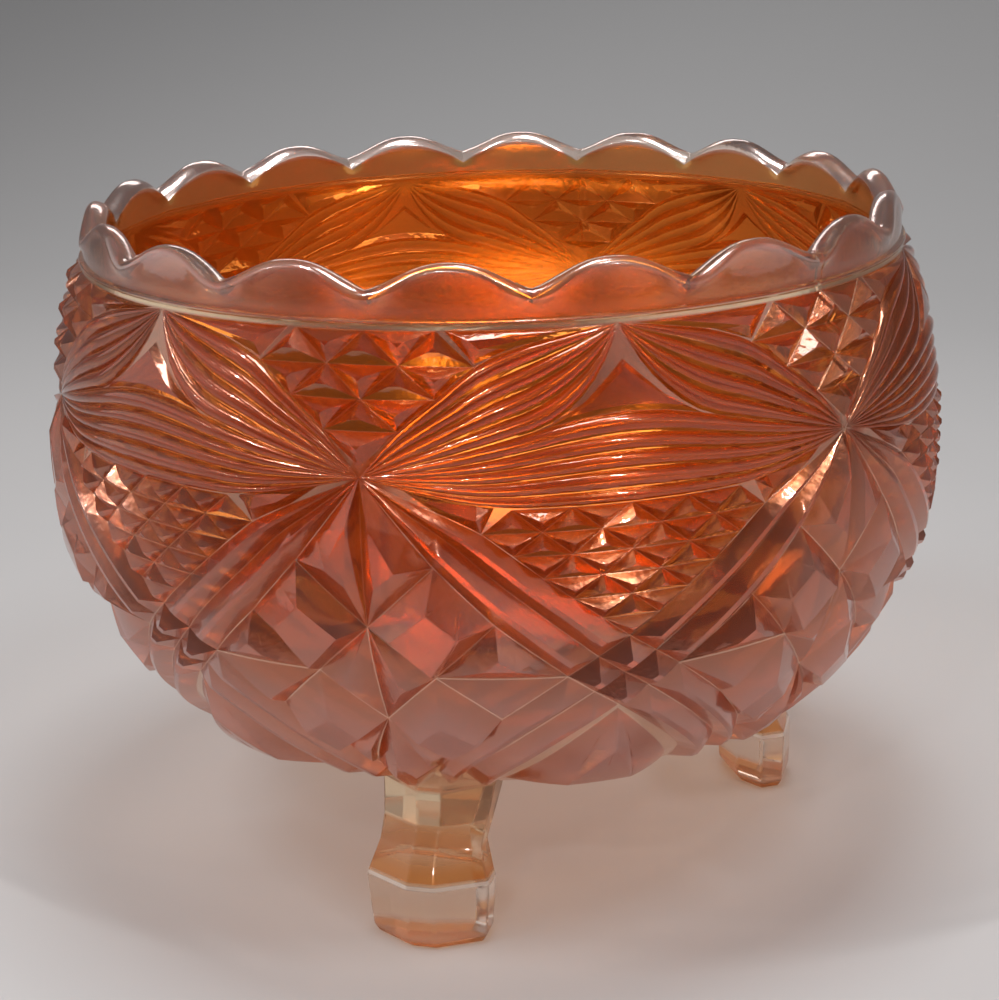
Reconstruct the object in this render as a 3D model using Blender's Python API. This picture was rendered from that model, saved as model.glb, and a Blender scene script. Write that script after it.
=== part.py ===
"""A footed pressed-glass bowl: one cut-pattern bowl and the three legs that it stands on.

Metres, +Z up, the legs' undersides on z = 0, the axis of the bowl on the world Z axis and one leg towards -Y.
"""

import math

import bmesh
import bpy
from mathutils import Vector
from mathutils.geometry import delaunay_2d_cdt

MM = 0.001

# Overall sizes
BODY_DIAMETER = 150.0 * MM  # across the crests of the pattern at the widest height
BOWL_HEIGHT = 92.0 * MM  # from the flat underside to the tops of the scallops
BOWL_LIFT = 22.0 * MM  # height of the bowl's underside above the table

# Walls
WALL = 4.2 * MM  # thickness behind the bottoms of the grooves
FLOOR = 7.5 * MM  # thickness of the glass under the inside
RELIEF = 1.7 * MM  # how far the largest cells stand above the grooves
LEDGE_STEP = 0.9 * MM  # how far the plain band stands back from the moulding under it

# Rim
SCALLOPS = 18
SCALLOP_DEPTH = 3.8 * MM
RIM_ROUND = 1.5 * MM

# Legs
LEGS = 3
LEG_OUT = 48.7 * MM  # from the axis to the middle of the toe
TOE_WIDTH = 20.6 * MM
TOE_DEPTH = 11.8 * MM
TOE_HEIGHT = 11.0 * MM
WAIST_WIDTH = 17.0 * MM
LEG_GAP = 0.3 * MM  # between the top of a leg and the bowl that it carries

SECTORS = 6  # the pattern repeats six times, each repeat mirrored about its middle
STEP = 5  # degrees between the columns of the plain surfaces
SHARP = math.radians(18)  # edges bent by more than this keep their crease

# The numbers below are degrees from the hub of the pattern and millimetres above the table.
# They're drawn for a bowl 150 mm across and 92 mm high, and the maps below fit them to the sizes above.
OUTER = [(22.0, 31.4), (23.6, 39.0), (26.8, 46.8), (30.0, 51.9), (33.0, 55.9), (36.5, 59.5), (40.0, 62.3)]
OUTER += [(44.0, 64.8), (48.0, 67.1), (52.4, 69.3), (57.0, 71.3), (62.0, 72.8), (70.0, 73.8), (78.0, 73.8)]
OUTER += [(85.0, 73.4), (94.0, 71.8), (101.0, 69.7), (105.6, 68.2)]
INNER = [(108.0, 64.1), (104.0, 64.5), (98.0, 66.3), (91.0, 67.9), (84.0, 68.7), (76.0, 69.1), (68.0, 68.7)]
INNER += [(60.0, 67.0), (53.0, 64.0), (47.0, 60.2), (41.0, 54.6), (36.0, 47.2), (32.0, 37.0), (30.2, 24.0)]
DRAWN_RADIUS, DRAWN_LIFT, DRAWN_BOWL = 75.05, 22.0, 92.0
LEDGE, FOOT_OF_PATTERN, BEAD_TOP = 105.6, 33.0, 106.6

GROOVES = [
    [(0, 105), (4.3, 100.4), (8.6, 105), (13, 100.2)],
    [(0, 95.8), (4.3, 100.4), (8.6, 95.9)],
    [(0, 95.8), (4.3, 91.5)],
    [(0, 100.4), (4.3, 100.4), (13, 100.2)],
    [(0, 95.8), (8.6, 95.9)],
    [(0, 91.5), (4.3, 91.5)],
    [(0, 85), (4.3, 91.5), (8.6, 95.9), (13, 100.2), (18, 102.6), (24, 104.1), (30, 105)],
    [(0, 85), (8, 87.6), (15, 89.9), (21, 91.8), (25.3, 95.0), (28, 98), (30, 100.3), (30, 105)],
    [(21, 91.8), (25.5, 92.9), (30, 93.3)],
    [(0, 85), (7, 82.6), (14.6, 80.9), (23.3, 80.4), (30, 80.3)],
    [(0, 85), (7.5, 80.9), (13.3, 77.0), (16.7, 73.6), (20, 70.2), (23.3, 66.9), (26.7, 63.4), (30, 60)],
    [(13.3, 77.0), (16.7, 80.8), (20, 77.0), (23.3, 80.4), (26.7, 77.0), (30, 80.3)],
    [(16.7, 73.6), (20, 77.0), (23.3, 73.6), (26.7, 77.0), (30, 73.6)],
    [(20, 70.2), (23.3, 73.6), (26.7, 70.2), (30, 73.6)],
    [(23.3, 66.9), (26.7, 70.2), (30, 66.9)],
    [(26.7, 63.4), (30, 66.9)],
    [(13.3, 77.0), (30, 77.0)],
    [(16.7, 73.6), (30, 73.6)],
    [(20, 70.2), (30, 70.2)],
    [(23.3, 66.9), (30, 66.9)],
    [(26.7, 63.4), (30, 63.4)],
    [(0, 85), (10, 75.7), (15, 69.8), (20, 64.2), (26.5, 56.8), (30, 53.4)],
    [(0, 85), (8, 72.2), (14.5, 63.2), (19, 58), (23, 53.6), (26.5, 50.2), (30, 47)],
    [(30, 60), (26.5, 56.8), (23, 53.6), (15, 45.7), (8, 38), (4, 34.2)],
    [(30, 53.4), (26.5, 50.2), (20, 44), (12, 36.4)],
    [(30, 47), (24, 41), (17, 34.6)],
    [(0, 85), (0, 62.5), (0, 45.3), (0, 34)],
    [(8, 72.2), (0, 62.5), (7.3, 54), (15, 45.7)],
    [(14.5, 63.2), (7.3, 54), (0, 45.3)],
    [(7.3, 54), (23, 53.6)],
    [(0, 45.3), (8, 38), (12, 36.4), (17, 34.6)],
]
# Each crest is a ridge line or a flat top with its height as a share of the relief.
CRESTS = [
    (0.75, [(0, 102.2)]), (0.75, [(8.6, 102.1)]), (0.75, [(4.3, 97.5)]), (0.75, [(0, 93.2)]),
    (0.6, [(4.3, 103.4)]), (0.6, [(0, 98.6)]), (0.6, [(8.6, 98.7)]), (0.6, [(4.3, 94.4)]), (0.6, [(0, 89.2)]),
    (0.6, [(13.5, 102.6), (17.5, 103.6)]),
    (0.55, [(6.5, 91.7), (10.5, 95.9), (14.5, 99.2), (20, 101.9), (25.5, 104)]),
    (0.55, [(6.5, 89.9), (10.5, 93.1), (15, 96.4), (20, 99.6), (25.5, 102.9)]),
    (0.55, [(6.5, 88.4), (10.5, 90.6), (15, 93.4), (20, 96.6), (25.5, 101)]),
    (0.55, [(8, 88.1), (15, 90.9), (20, 93), (24.5, 96.6), (28, 101)]),
    (0.5, [(30, 98.4), (28.4, 96.6), (26, 94.7), (23.4, 93.0), (27, 93.9), (30, 94.1)]),
    (0.5, [(8, 87), (15, 88.7), (21, 90.3), (25.5, 91.2), (30, 91.5)]),
    (0.55, [(8, 86.1), (15, 87.4), (21, 88.3), (30, 88.9)]),
    (0.55, [(8, 85.1), (15, 85.7), (22, 86.2), (30, 86.4)]),
    (0.55, [(8, 84.2), (15, 84), (22, 83.7), (30, 83.7)]),
    (0.5, [(8, 83.2), (15, 82.2), (22, 81.5), (30, 81.4)]),
    (0.5, [(9, 81.2), (12.4, 80.4), (13.6, 79.9)]),
    (0.6, [(16.7, 78.3)]), (0.6, [(23.3, 78.2)]), (0.6, [(30, 78.2)]),
    (0.6, [(20, 74.8)]), (0.6, [(26.7, 74.8)]),
    (0.6, [(23.3, 71.3)]), (0.6, [(30, 71.3)]), (0.6, [(26.7, 68.0)]), (0.6, [(30, 64.6)]),
    (0.5, [(20, 79.3)]), (0.5, [(26.7, 79.2)]), (0.5, [(16.7, 75.9)]), (0.5, [(23.3, 75.9)]),
    (0.5, [(30, 75.9)]), (0.5, [(20, 72.5)]), (0.5, [(26.7, 72.5)]), (0.5, [(23.3, 69.1)]),
    (0.5, [(30, 69.1)]), (0.5, [(26.7, 65.8)]), (0.5, [(30, 62.3)]),
    (0.6, [(8, 78.6), (14, 73.3), (19.5, 67.6), (25, 61.4), (28, 58.6)]),
    (0.6, [(8.5, 74.6), (14, 67.2), (19, 61.4), (24.4, 55.2)]),
    (0.7, [(30, 56.7)]), (0.7, [(26.5, 53.5)]), (0.7, [(30, 50.2)]),
    (0.6, [(23, 50.2), (17, 43.8), (11, 37.8)]), (0.6, [(26.5, 47), (20.5, 40.6), (15, 35.6)]),
    (0.75, [(1.2, 78), (3.9, 71.9), (1.5, 68)]),
    (1.0, [(7.2, 66), (3.2, 61.8), (7.2, 56.8), (10.3, 62.4), (7.2, 66)]),
    (0.85, [(3.3, 53.0)]), (0.95, [(14.8, 57.8)]), (0.85, [(15, 49)]),
    (0.95, [(7.3, 46.2), (4.0, 43.2), (7.8, 40), (11.6, 43), (7.3, 46.2)]),
    (0.7, [(3.2, 38.6)]),
]


def curve(points, at):
    """The height-to-radius curve through the points, rising height first, with a smooth tangent at each."""
    points = sorted(points)
    last = len(points) - 1
    slopes = []
    for index in range(len(points)):
        low, high = points[max(index - 1, 0)], points[min(index + 1, last)]
        slopes.append((high[1] - low[1]) / (high[0] - low[0]))
    index = 0
    while index < last - 1 and at > points[index + 1][0]:
        index += 1
    (x0, y0), (x1, y1) = points[index], points[index + 1]
    width = x1 - x0
    t = (at - x0) / width
    return (
        (1 + 2 * t) * (1 - t) ** 2 * y0
        + t * (1 - t) ** 2 * width * slopes[index]
        + t * t * (3 - 2 * t) * y1
        + t * t * (t - 1) * width * slopes[index + 1]
    )


def radius(drawn):
    return drawn / DRAWN_RADIUS * BODY_DIAMETER / 2


def height(drawn):
    return BOWL_LIFT + (drawn - DRAWN_LIFT) / DRAWN_BOWL * BOWL_HEIGHT


def outer_point(drawn_height, out):
    """The radius and height of a point on the outer wall, moved out along the wall's normal."""
    run = radius(curve(OUTER, drawn_height + 0.2)) - radius(curve(OUTER, drawn_height - 0.2))
    rise = height(drawn_height + 0.2) - height(drawn_height - 0.2)
    length = math.hypot(run, rise)
    return radius(curve(OUTER, drawn_height)) + out * rise / length, height(drawn_height) - out * run / length


def around(r, degrees, z):
    angle = math.radians(degrees)
    return Vector((r * math.sin(angle), -r * math.cos(angle), z))


def glass(name, color, roughness):
    material = bpy.data.materials.new(name)
    material.use_nodes = True
    shader = material.node_tree.nodes["Principled BSDF"]
    shader.inputs["Base Color"].default_value = (*color, 1.0)
    shader.inputs["Roughness"].default_value = roughness
    shader.inputs["IOR"].default_value = 1.5
    shader.inputs["Transmission Weight"].default_value = 1.0
    material.diffuse_color = (*color, 1.0)
    return material


def finish(mesh, name, material):
    bmesh.ops.remove_doubles(mesh, verts=mesh.verts, dist=0.00002)
    bmesh.ops.dissolve_degenerate(mesh, edges=mesh.edges, dist=0.00001)
    bmesh.ops.recalc_face_normals(mesh, faces=mesh.faces)
    if mesh.calc_volume(signed=True) < 0:
        bmesh.ops.reverse_faces(mesh, faces=mesh.faces)
    data = bpy.data.meshes.new(name)
    mesh.to_mesh(data)
    mesh.free()
    data.materials.append(material)
    data.shade_smooth()
    data.set_sharp_from_angle(angle=SHARP)
    result = bpy.data.objects.new(name, data)
    bpy.context.scene.collection.objects.link(result)
    return result


def pattern_half():
    """Triangles of half a repeat of the pattern, as (degrees, drawn height, outward distance) corners."""
    points, heights, edges = [], [], []

    def line(corners, out):
        first = len(points)
        for corner in corners:
            points.append(Vector((corner[0] * 1.27, corner[1])))
            heights.append(out)
        edges.extend((first + i, first + i + 1) for i in range(len(corners) - 1))

    across = list(range(0, 31, STEP))
    line([(a, LEDGE) for a in across], 0.0)
    line([(a, FOOT_OF_PATTERN) for a in across], 0.0)
    for side in (0, 30):
        line([(side, LEDGE), (side, FOOT_OF_PATTERN)], 0.0)
    for groove in GROOVES:
        line(groove, 0.0)
    for share, crest in CRESTS:
        line(crest, share * RELIEF)
    verts, _, faces, origins, _, _ = delaunay_2d_cdt(points, edges, [], 1, 0.02, True)
    out = [max((heights[i] for i in origin), default=0.0) for origin in origins]
    return [[(verts[i][0] / 1.27, verts[i][1], out[i]) for i in face] for face in faces]


def add_pattern(mesh):
    """All the repeats of the pattern, put round the outer wall of the bowl."""
    half = pattern_half()
    for sector in range(SECTORS):
        for mirrored in (False, True):
            for corners in half:
                face = []
                for degrees, drawn, out in corners:
                    degrees = 60 * sector + (60 - degrees if mirrored else degrees)
                    r, z = outer_point(drawn, out)
                    face.append(mesh.verts.new(around(r, degrees, z)))
                mesh.faces.new(face[::-1] if mirrored else face)


def add_rings(mesh, rings):
    """Bands between rings, each given as a function from degrees to (radius, height). A radius of 0 closes the end."""
    columns = range(0, 360, STEP)
    made = []
    for ring in rings:
        if ring(0)[0] == 0:
            made.append([mesh.verts.new((0, 0, ring(0)[1]))] * len(columns))
        else:
            made.append([mesh.verts.new(around(ring(a)[0], a, ring(a)[1])) for a in columns])
    for low, high in zip(made, made[1:]):
        for i in range(len(columns)):
            j = (i + 1) % len(columns)
            corners = []
            for vert in (low[i], low[j], high[j], high[i]):
                if vert not in corners:
                    corners.append(vert)
            mesh.faces.new(corners)


def scallop(degrees):
    """How far the rim stands below the tops of the scallops, from 0 at a top to 1 in a notch."""
    return (0.5 + 0.5 * math.cos(math.radians(degrees * SCALLOPS))) ** 1.35


def ring_at(r, z, drop=0.0):
    """A ring whose height follows the scallops by the given share."""
    return lambda degrees: (r, z - drop * SCALLOP_DEPTH * scallop(degrees))


def make_bowl(material):
    mesh = bmesh.new()
    add_pattern(mesh)
    top = BOWL_LIFT + BOWL_HEIGHT
    ledge_r, ledge_z = outer_point(LEDGE, 0.0)
    inner_top = ledge_r - WALL
    band_r = ledge_r - LEDGE_STEP * 0.3
    upper = [
        ring_at(ledge_r, ledge_z),
        ring_at(ledge_r + LEDGE_STEP * 0.35, height(BEAD_TOP) - 0.5 * MM),
        ring_at(band_r, height(BEAD_TOP)),
        ring_at(band_r, top - 5.5 * MM, 0.1),
        ring_at(band_r + 0.2 * MM, top - RIM_ROUND, 1.0),
        ring_at(band_r - RIM_ROUND * 0.5, top - RIM_ROUND * 0.2, 1.0),
        ring_at((band_r + inner_top) / 2, top, 1.0),
        ring_at(inner_top + RIM_ROUND * 0.5, top - RIM_ROUND * 0.2, 1.0),
        ring_at(inner_top, top - RIM_ROUND, 1.0),
    ]
    # The inside keeps the wall's thickness from the drawn bowl and then follows the two thickness sizes.
    extra_wall = WALL - 4.2 * MM
    extra_floor = FLOOR - 7.5 * MM
    deepest = INNER[-1][0]
    for drawn, r in INNER:
        share = max(0.0, 1 - (drawn - deepest) / 15)
        upper.append(ring_at(radius(r) - extra_wall * (1 - share), height(drawn) + extra_floor * share))
    upper.append(ring_at(radius(12.0), height(29.6) + extra_floor))
    upper.append(ring_at(0, height(29.5) + extra_floor))
    add_rings(mesh, upper)
    lower = [ring_at(0, height(22.6)), ring_at(radius(27.5), height(22.6)), ring_at(radius(29.0), height(22.0))]
    for drawn in (22.0, 23.6, 26.8, 30.0, 33.0):
        lower.append(ring_at(*outer_point(drawn, 0.0)))
    add_rings(mesh, lower)
    return finish(mesh, "bowl", material)


def leg_sections():
    """(height, outer face, outer side, inner side, inner face, half width, half width of the outer face) up a leg."""
    half, waist = TOE_WIDTH / 2, WAIST_WIDTH / 2
    deep = TOE_DEPTH / 2
    t, lift = TOE_HEIGHT, BOWL_LIFT
    return [
        (0.0, deep - 1.3 * MM, 0.9 * MM, -2.4 * MM, 1.2 * MM - deep, half - 1.6 * MM, 2.0 * MM),
        (1.5 * MM, deep - 0.2 * MM, 1.2 * MM, -2.9 * MM, 0.2 * MM - deep, half - 0.7 * MM, 2.2 * MM),
        (t - 0.5 * MM, deep, 1.4 * MM, -3.0 * MM, -deep, half, 2.3 * MM),
        (t + 0.3 * MM, deep - 0.4 * MM, 1.3 * MM, -3.0 * MM, 0.3 * MM - deep, half - 0.3 * MM, 2.2 * MM),
        (t + 4.8 * MM, deep - 3.4 * MM, -0.6 * MM, -5.0 * MM, -deep - 1.5 * MM, waist, 1.9 * MM),
        (lift - 3.0 * MM, deep - 6.0 * MM, -4.0 * MM, -10.0 * MM, -deep - 6.2 * MM, waist + 0.2 * MM, 1.9 * MM),
        (lift + 2.6 * MM, deep - 7.0 * MM, -7.0 * MM, -14.0 * MM, -deep - 11.0 * MM, waist + 1.0 * MM, 2.0 * MM),
        (lift + 11.0 * MM, deep - 6.2 * MM, -7.0 * MM, -17.0 * MM, -deep - 14.0 * MM, waist + 2.0 * MM, 2.4 * MM),
    ]


def bowl_cutter():
    """The outer surface of the bowl's lower half, moved out by the gap, as a helper that no render shows."""
    mesh = bmesh.new()
    rings = [ring_at(0, height(22.0) - LEG_GAP), ring_at(radius(31.4), height(22.0) - LEG_GAP)]
    for drawn in (22.8, 23.6, 26.8, 30.0, 33.0, 36.5, 40.0, 44.0):
        rings.append(ring_at(*outer_point(drawn, LEG_GAP)))
    rings.append(ring_at(0, height(44.0)))
    add_rings(mesh, rings)
    cutter = finish(mesh, "bowl_cutter", glass("helper", (0.5, 0.5, 0.5), 0.5))
    cutter.hide_render = True
    cutter.display_type = "WIRE"
    return cutter


def make_leg(name, degrees, material, cutter):
    mesh = bmesh.new()
    angle = math.radians(degrees)
    out = Vector((math.sin(angle), -math.cos(angle), 0))
    side = Vector((math.cos(angle), math.sin(angle), 0))
    loops = []
    for z, front, front_side, back_side, back, half, flat in leg_sections():
        corners = [(front, -flat), (front, flat), (front_side, half), (back_side, half)]
        corners += [(back, half * 0.5), (back, -half * 0.5), (back_side, -half), (front_side, -half)]
        loops.append([mesh.verts.new(out * (LEG_OUT + r) + side * t + Vector((0, 0, z))) for r, t in corners])
    mesh.faces.new(loops[0])
    mesh.faces.new(loops[-1])
    for low, high in zip(loops, loops[1:]):
        for i in range(8):
            j = (i + 1) % 8
            mesh.faces.new((low[i], low[j], high[j], high[i]))
    leg = finish(mesh, name, material)
    cut = leg.modifiers.new("seat", "BOOLEAN")
    cut.operation = "DIFFERENCE"
    cut.solver = "EXACT"
    cut.object = cutter
    return leg


def main():
    for existing in list(bpy.data.objects):
        bpy.data.objects.remove(existing)
    amber = glass("amber_glass", (0.80, 0.33, 0.14), 0.06)
    pale = glass("pale_amber_glass", (0.93, 0.68, 0.42), 0.06)
    make_bowl(amber)
    cutter = bowl_cutter()
    for number, name in enumerate(("leg_front", "leg_right", "leg_left")[:LEGS]):
        make_leg(name, 360 / LEGS * number, pale, cutter)


main()
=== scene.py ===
import math

import bmesh
import bpy
from bpy.props import FloatProperty, FloatVectorProperty, IntProperty, PointerProperty
from bpy.types import Operator, Panel, PropertyGroup
from mathutils import Matrix, Vector
from mathutils.geometry import delaunay_2d_cdt


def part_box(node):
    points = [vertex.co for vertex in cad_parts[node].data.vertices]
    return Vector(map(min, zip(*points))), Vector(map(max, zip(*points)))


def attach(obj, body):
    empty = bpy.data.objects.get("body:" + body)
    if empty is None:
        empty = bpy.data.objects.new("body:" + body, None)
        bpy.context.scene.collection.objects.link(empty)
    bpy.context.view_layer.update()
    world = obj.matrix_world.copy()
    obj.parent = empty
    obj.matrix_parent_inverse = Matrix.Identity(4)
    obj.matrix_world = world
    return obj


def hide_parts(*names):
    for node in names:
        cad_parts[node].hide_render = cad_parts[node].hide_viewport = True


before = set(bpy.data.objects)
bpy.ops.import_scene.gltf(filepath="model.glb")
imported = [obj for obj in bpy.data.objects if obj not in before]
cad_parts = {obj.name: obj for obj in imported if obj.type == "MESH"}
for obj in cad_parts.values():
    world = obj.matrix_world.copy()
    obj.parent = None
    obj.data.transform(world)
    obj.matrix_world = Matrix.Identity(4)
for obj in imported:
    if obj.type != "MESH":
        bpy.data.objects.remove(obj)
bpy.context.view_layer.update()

bl_info = {
    "name": "Footed Glass Bowl",
    "version": (1, 0, 0),
    "blender": (4, 5, 0),
    "location": "3D View > Sidebar > Glass Bowl",
    "description": "Makes a footed pressed-glass bowl with its star pattern, its legs and a studio",
    "category": "Add Mesh",
}

MM = 0.001
BOWL_LOW, BOWL_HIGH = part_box("bowl")

# The pattern is drawn flat, in degrees from the middle of a star and millimetres above the table.
DRAWN_RADIUS, DRAWN_FOOT, DRAWN_TOP = 75.05, 22.0, 114.0
REPEATS = 6
HALF = 30.0  # degrees in half a repeat
MM_PER_DEGREE = 1.27  # along the wall at its widest
LEDGE, HEM = 105.6, 28.0  # the heights between which the pattern lies

# Height and radius up the bottoms of the grooves, and down the smooth inside.
OUTER = [(22.0, 31.4), (23.6, 39.0), (26.8, 46.8), (30.0, 51.9), (33.0, 55.9), (36.5, 59.5), (40.0, 62.3)]
OUTER += [(44.0, 64.8), (48.0, 67.1), (52.4, 69.3), (57.0, 71.3), (62.0, 72.8), (70.0, 73.8), (78.0, 73.8)]
OUTER += [(85.0, 73.4), (94.0, 71.8), (101.0, 69.7), (105.6, 68.2)]
INNER = [(108.0, 64.1), (104.0, 64.5), (98.0, 66.3), (91.0, 67.9), (84.0, 68.7), (76.0, 69.1), (68.0, 68.7)]
INNER += [(60.0, 67.0), (53.0, 64.0), (47.0, 60.2), (41.0, 54.6), (36.0, 47.2), (32.0, 37.0), (30.2, 24.0)]

HUB = (0, 85)
# The pale line in the grooves is a painted glint.
HUB_REACH = 6.0  # grooves nearer than this to the middle of a star carry no pale line
# Curves from the star to the ledge, to the next star, and to the crossing of the bands.
LEAF_OUTER = [HUB, (4.3, 91.5), (8.6, 95.9), (13, 100.2), (18, 102.6), (24, 104.1), (30, 105)]
LEAF_INNER = [HUB, (8, 87.6), (15, 89.9), (21, 92.1), (25.3, 96.0), (28.2, 100.6), (30, 105)]
WINDOW_SIDE = [(21, 91.8), (25.3, 95.0), (28, 98), (30, 100.3), (30, 105)]
BRANCH_TOP = [HUB, (8, 87.5), (15, 89.8), (21, 91.8), (25.5, 92.9), (30, 93.3)]
BRANCH_FOOT = [HUB, (7, 82.8), (14.6, 81.0), (23.3, 80.6), (30, 80.6)]
BAND_TOP = [HUB, (7.5, 80.9), (13.33, 77.15), (20, 70.29), (26.67, 63.43), (30, 60)]
BAND_MIDDLE = [HUB, (5, 80.3), (10, 75.7), (15, 69.8), (20, 64.2), (26.5, 56.8)]
BAND_FOOT = [HUB, (4, 78.4), (8, 72.2), (14.5, 63.2), (19, 58), (23, 53.6)]
TAIL_TOP = [(23, 53.6), (19, 49.7), (15, 45.7), (11.4, 41.6), (8, 38), (5.2, 34), (2.8, 29)]
TAIL_MIDDLE = [(26.5, 50.2), (20, 44), (16, 40.1), (12, 36.4), (9.8, 34), (7.2, 29)]
TAIL_FOOT = [(30, 47), (24, 41), (20.6, 37.8), (17, 34.2), (14, 29)]

STRAIGHT_GROOVES = [
    [(0, 105), (4.3, 100.4), (8.6, 105), (13, 100.2)],
    [(0, 95.8), (4.3, 100.4), (8.6, 95.9)],
    [(0, 95.8), (4.3, 91.5)],
    [(0, 100.4), (4.3, 100.4), (13, 100.2)],
    [(0, 95.8), (8.6, 95.9)],
    [(0, 91.5), (4.3, 91.5)],
    WINDOW_SIDE,
    [(0, 85), (0, 62.5), (0, 45.3)],
    [(8, 72.2), (0, 62.5), (7.3, 54), (15, 45.7)],
    [(14.5, 63.2), (7.3, 54), (0, 45.3), (8, 38)],
    [(7.3, 54), (23, 53.6)],
    [(30, 60), (26.5, 56.8), (23, 53.6), (26.5, 50.2), (30, 47)],
    [(26.5, 56.8), (30, 53.4), (26.5, 50.2)],
    [(15.4, 81), (13.33, 77.15)],
]
# Cells with a flat or pointed top: height, corners at the grooves and corners of the top.
TOPPED_CELLS = [
    (
        2.3,
        [(8, 72.2), (0, 62.5), (7.3, 54), (14.5, 63.2)],
        [(7.2, 66.2), (3.0, 61.9), (7.2, 56.6), (10.4, 62.3)],
    ),
    (
        2.1,
        [(7.3, 54), (0, 45.3), (8, 38), (15, 45.7)],
        [(7.2, 46.4), (4.0, 43.0), (7.9, 39.8), (11.8, 42.8)],
    ),
    (1.7, [(0, 85), (0, 62.5), (8, 72.2)], [(1.2, 78.5), (1.6, 69.5), (3.9, 71.9)]),
    (1.8, [(0, 62.5), (0, 45.3), (7.3, 54)], [(3.2, 54.2), (3.1, 52.6), (4.0, 53.4)]),
    (2.1, [(7.3, 54), (14.5, 63.2), (23, 53.6)], [(13.2, 57.3), (14.8, 59.0), (16.8, 57.2)]),
    (1.9, [(7.3, 54), (23, 53.6), (15, 45.7)], [(14.3, 49.3), (15.7, 49.3), (15, 48.6)]),
    (1.4, [(0, 45.3), (8, 38), (5.2, 34.1)], [(3.3, 40.0), (5.0, 38.2), (4.3, 36.8)]),
    (2.3, [(30, 46.4), (15, 29.2), (45, 29.2)], [(30, 40.4), (24.8, 32.2), (35.2, 32.2)]),
    (
        2.0,
        [(0, 45.3), (4.8, 34.2), (2.2, 28.8), (-2.2, 28.8), (-4.8, 34.2)],
        [(0, 38), (1.6, 34), (0.8, 31.5), (-0.8, 31.5), (-1.6, 34)],
    ),
    (
        1.0,
        [(4, 83.8), (15.4, 81), (13.33, 77.15), (8.5, 80.3)],
        [(7.6, 82.3), (14.3, 81.0), (12.9, 79.4), (9.5, 80.9)],
    ),
    (
        0.9,
        [(9.6, 105), (13, 100.6), (18, 102.8), (28, 104.9)],
        [(12.4, 103.6), (13.6, 102.4), (18, 103.4), (23, 104.4)],
    ),
]
# The smooth window between two leaves and the branch.
PLAIN_WINDOW = [(30, 100.3), (28, 98), (25.3, 95.0), (21, 91.8), (25.5, 92.9), (30, 93.3)]
PLAIN_WINDOW_TOP = [(30, 99.0), (28.3, 97.2), (25.9, 94.9), (23.4, 93.2), (26, 93.8), (30, 94.2)]
PLAIN_WINDOW_HEIGHT = 0.9
# Where the bands cross: small four-sided pyramids.
CROSSING_CELLS = [
    [(30, 60), (26.5, 56.8), (30, 53.4), (33.5, 56.8)],
    [(26.5, 56.8), (23, 53.6), (26.5, 50.2), (30, 53.4)],
    [(30, 53.4), (26.5, 50.2), (30, 47), (33.5, 50.2)],
]
# The field above each star: height, corners and how wide the blunt top is as a share of the cell.
STAR_FIELD = [
    (1.5, [(-4.3, 100.4), (4.3, 100.4), (0, 105)], 0.15),
    (1.5, [(4.3, 100.4), (13, 100.2), (8.6, 105)], 0.15),
    (1.5, [(-8.6, 95.9), (0, 95.8), (-4.3, 100.4)], 0.15),
    (1.5, [(0, 95.8), (8.6, 95.9), (4.3, 100.4)], 0.15),
    (1.5, [(-4.3, 91.5), (4.3, 91.5), (0, 95.8)], 0.15),
    (1.2, [(-4.3, 100.4), (4.3, 100.4), (0, 95.8)], 0.12),
    (1.2, [(4.3, 100.4), (13, 100.2), (8.6, 95.9)], 0.12),
    (1.2, [(0, 95.8), (8.6, 95.9), (4.3, 91.5)], 0.12),
    (1.2, [(-4.3, 91.5), (4.3, 91.5), (0, 86.5)], 0.12),
    (1.0, [(0, 105), (8.6, 105), (4.3, 100.4)], 0.14),
]

# Points of (share of the way across a rib, share of its height).
ROUNDED = ((0.14, 0.62), (0.32, 0.91), (0.5, 1.0), (0.68, 0.91), (0.86, 0.62))
MITRED = ((0.42, 1.0), (0.58, 1.0))
TALLEST_RIB = 1.5

SHARP = math.radians(32)  # creases steeper than this stay crisp
FLAT_FACE = 2.8  # a facet keeps a flat middle where it is this many crease widths across
FLOOR_GAP = 0.03 * MM  # keeps the toes and the floor from lying in one plane

# Lamps: name, place, size and power.
LAMPS = [
    ("ceiling_panel", (0.05, -0.02, 0.72), (0.22, 0.22), 2.3),
    ("lamp_strip_left", (-0.25, -0.30, 0.62), (0.012, 0.14), 0.9),
    ("lamp_strip_right", (0.30, -0.22, 0.66), (0.012, 0.14), 0.9),
    ("back_panel", (-0.2, 0.55, 0.45), (0.4, 0.15), 0.6),
    ("small_lamp_left", (-0.42, -0.34, 0.40), (0.014, 0.014), 0.12),
    ("small_lamp_middle", (0.02, -0.55, 0.42), (0.014, 0.014), 0.25),
    ("small_lamp_right", (0.42, -0.34, 0.44), (0.014, 0.014), 0.15),
]
LAMPS_AIM = Vector((0, 0, 0.06))
# The room that the glass reflects: pale walls, a darker ceiling and a dark side towards the viewer.
WALLS, CEILING, VIEWER_SIDE = (0.78, 0.78, 0.80, 1), (0.22, 0.22, 0.23, 1), (0.13, 0.12, 0.12, 1)
ROOM_STRENGTH = 0.9
# The camera: what it looks at, its direction from there in degrees, how far away it is and its roll.
CAMERA_AIM = Vector((0, 0, 0.05864))
CAMERA_TURN, CAMERA_LIFT, CAMERA_AWAY, CAMERA_ROLL = 15.44, 17.68, 0.36683, -1.69
SENSOR_WIDTH = 36


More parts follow.
